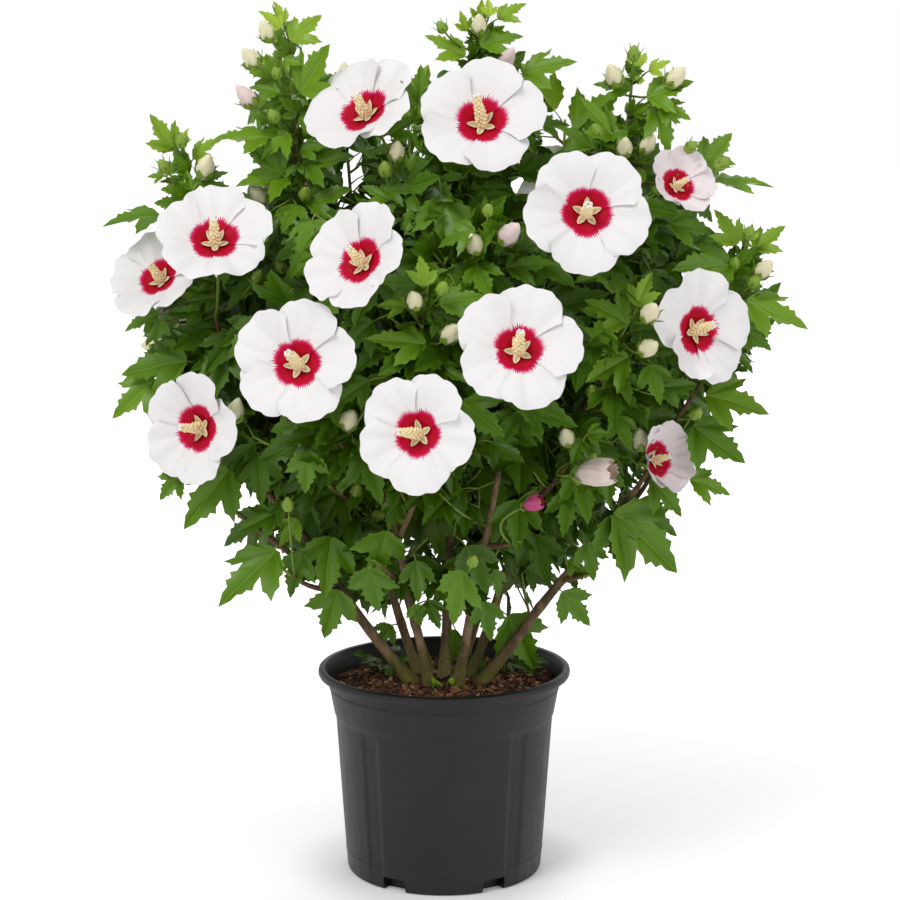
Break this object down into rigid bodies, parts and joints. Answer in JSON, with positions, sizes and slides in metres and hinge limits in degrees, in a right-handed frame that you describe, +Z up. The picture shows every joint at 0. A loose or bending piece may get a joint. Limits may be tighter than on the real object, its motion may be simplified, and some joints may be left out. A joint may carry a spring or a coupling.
{
  "type": "hibiscus shrub",
  "caption": "Flowering garden shrub in a round nursery pot: bare stems fan out from the potting mix into leafy sprays with white crimson-eyed blooms and cream buds.",
  "frame": {"origin": "on the pot's axis, at the flat underside that the pot stands on", "axes": "+Z up along the pot's axis; the picture is taken from -Y, looking along +Y; +X to the picture's right"},
  "size_m": [0.6047, 0.5129, 0.7721],
  "materials": {
    "pot_plastic": "black-grey moulded polypropylene, semi-matt, with a soft sheen on the lip",
    "potting_mix": "moist bark and peat mix, rough and matt",
    "bark": "smooth young bark, grey-brown to reddish brown, matt, with small pale lenticels",
    "foliage": "leaf green, semi-matt, with white and crimson blooms and cream buds"
  },
  "bodies": {
    "root": {"pot": "pot_plastic", "soil": "potting_mix", "stem_left_low": "bark", "stem_left": "bark", "stem_front_left": "bark", "stem_centre": "bark", "stem_front_right": "bark", "stem_right": "bark", "stem_right_low": "bark", "stem_back_left": "bark", "stem_back_right": "bark", "stem_back": "bark", "spray_left_tall": "foliage", "spray_left_high": "foliage", "spray_top_left": "foliage", "spray_top": "foliage", "spray_right_tall": "foliage", "spray_right_high": "foliage", "spray_right_low": "foliage", "spray_front_centre": "foliage", "spray_front_high": "foliage", "spray_front_right": "foliage", "spray_middle": "foliage", "spray_middle_left": "foliage", "spray_middle_low": "foliage", "spray_left_upper": "foliage", "spray_left_low": "foliage", "spray_skirt_left": "foliage", "spray_skirt_right": "foliage", "spray_skirt_front_left": "foliage", "spray_skirt_front": "foliage", "spray_skirt_front_right": "foliage", "spray_inner_left": "foliage", "spray_inner_centre": "foliage", "spray_inner_right": "foliage", "spray_side_left": "foliage", "spray_side_right": "foliage", "spray_back_left_tall": "foliage", "spray_back_right_tall": "foliage", "spray_middle_tall": "foliage", "spray_back_high": "foliage", "spray_back_left": "foliage", "spray_back_right": "foliage", "spray_back_left_low": "foliage", "spray_back_right_low": "foliage", "spray_back_middle": "foliage", "spray_skirt_back_left": "foliage", "spray_skirt_back_right": "foliage", "spray_skirt_back": "foliage", "spray_skirt_side_left": "foliage", "spray_skirt_side_right": "foliage"}
  },
  "joints": []
}
